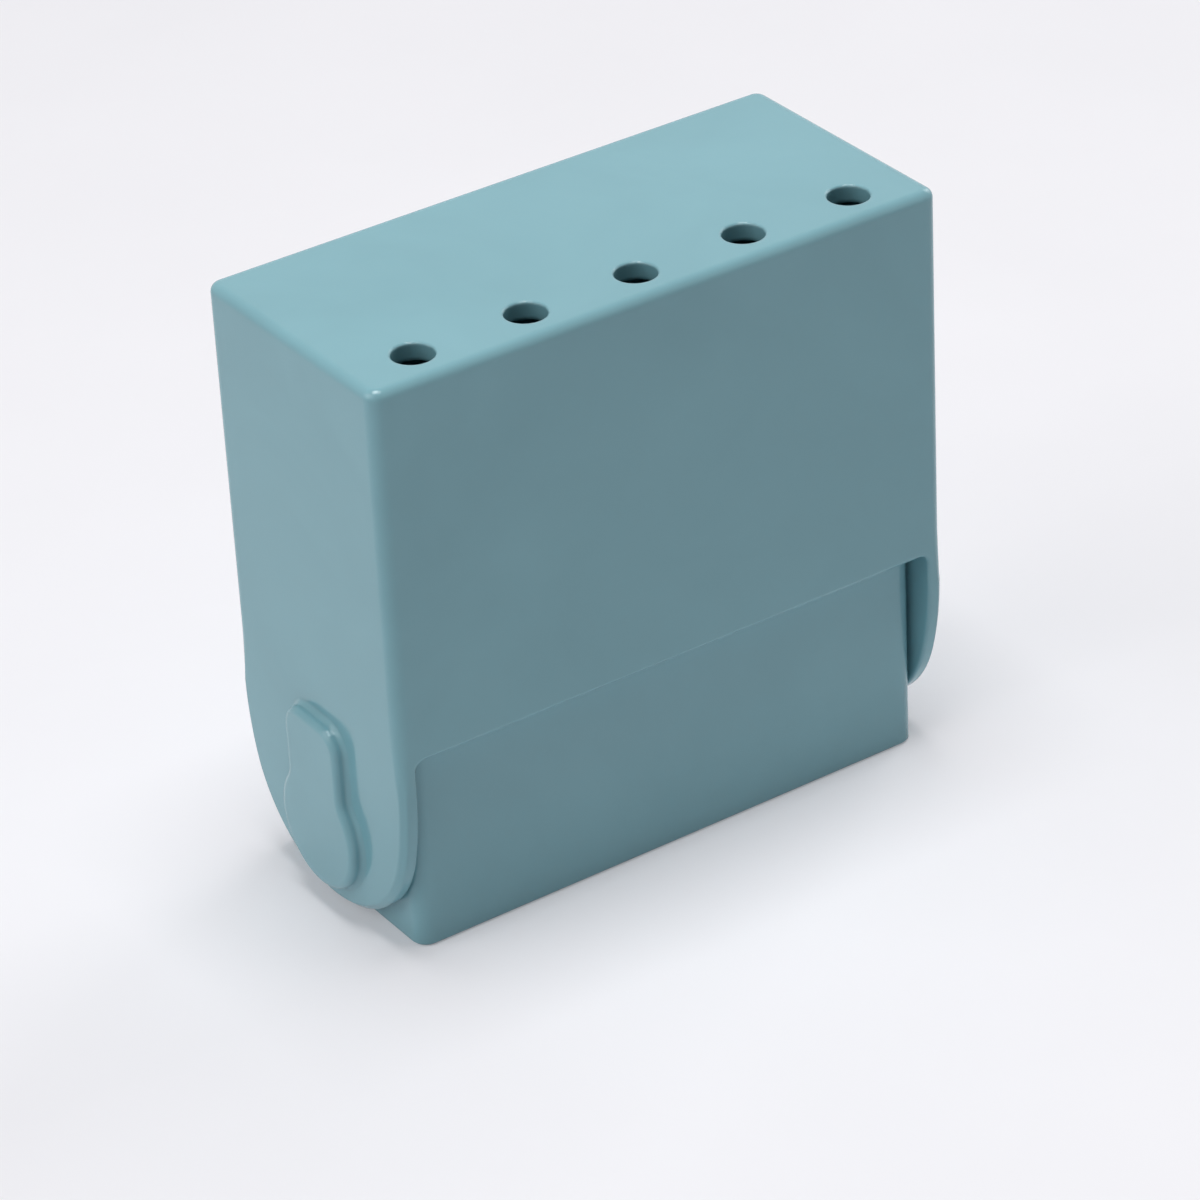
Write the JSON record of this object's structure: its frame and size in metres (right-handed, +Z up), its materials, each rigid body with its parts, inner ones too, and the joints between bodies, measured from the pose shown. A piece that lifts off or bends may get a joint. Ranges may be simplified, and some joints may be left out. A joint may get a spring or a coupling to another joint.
{
  "type": "travel soap box",
  "caption": "Moulded plastic travel soap box: a deep vented cover rides on two pins in keyhole tracks, draws up and swings forward off a ribbed tray.",
  "frame": {"origin": "middle of the tray's foot, on the surface that the box stands on", "axes": "+X to the right along the front, +Y from front to back, +Z up"},
  "size_m": [0.1042, 0.045, 0.0974],
  "materials": {
    "cover_plastic": "satin-gloss moulded polypropylene, grey teal",
    "tray_plastic": "satin-gloss moulded polypropylene, grey teal",
    "pin_plastic": "matte moulded acetal, grey teal"
  },
  "bodies": {
    "tray": {"tray": "tray_plastic"},
    "pivot_pins": {"pivot_pin_left": "pin_plastic", "pivot_pin_right": "pin_plastic"},
    "cover": {"cover": "cover_plastic"}
  },
  "joints": [
    {"name": "cover_swing", "type": "hinge", "parent": "tray", "child": "pivot_pins", "pos_m": [0, 0, 0.0267], "axis": [1, 0, 0], "range_deg": [0, 92.5]},
    {"name": "cover_lift", "type": "slide", "parent": "pivot_pins", "child": "cover", "axis": [0, 0, 1], "range_m": [0, 0.0125]}
  ],
  "couplings": [
    {"joint": "cover_lift", "follows": "cover_swing", "m_per_rad": 0.00774}
  ]
}
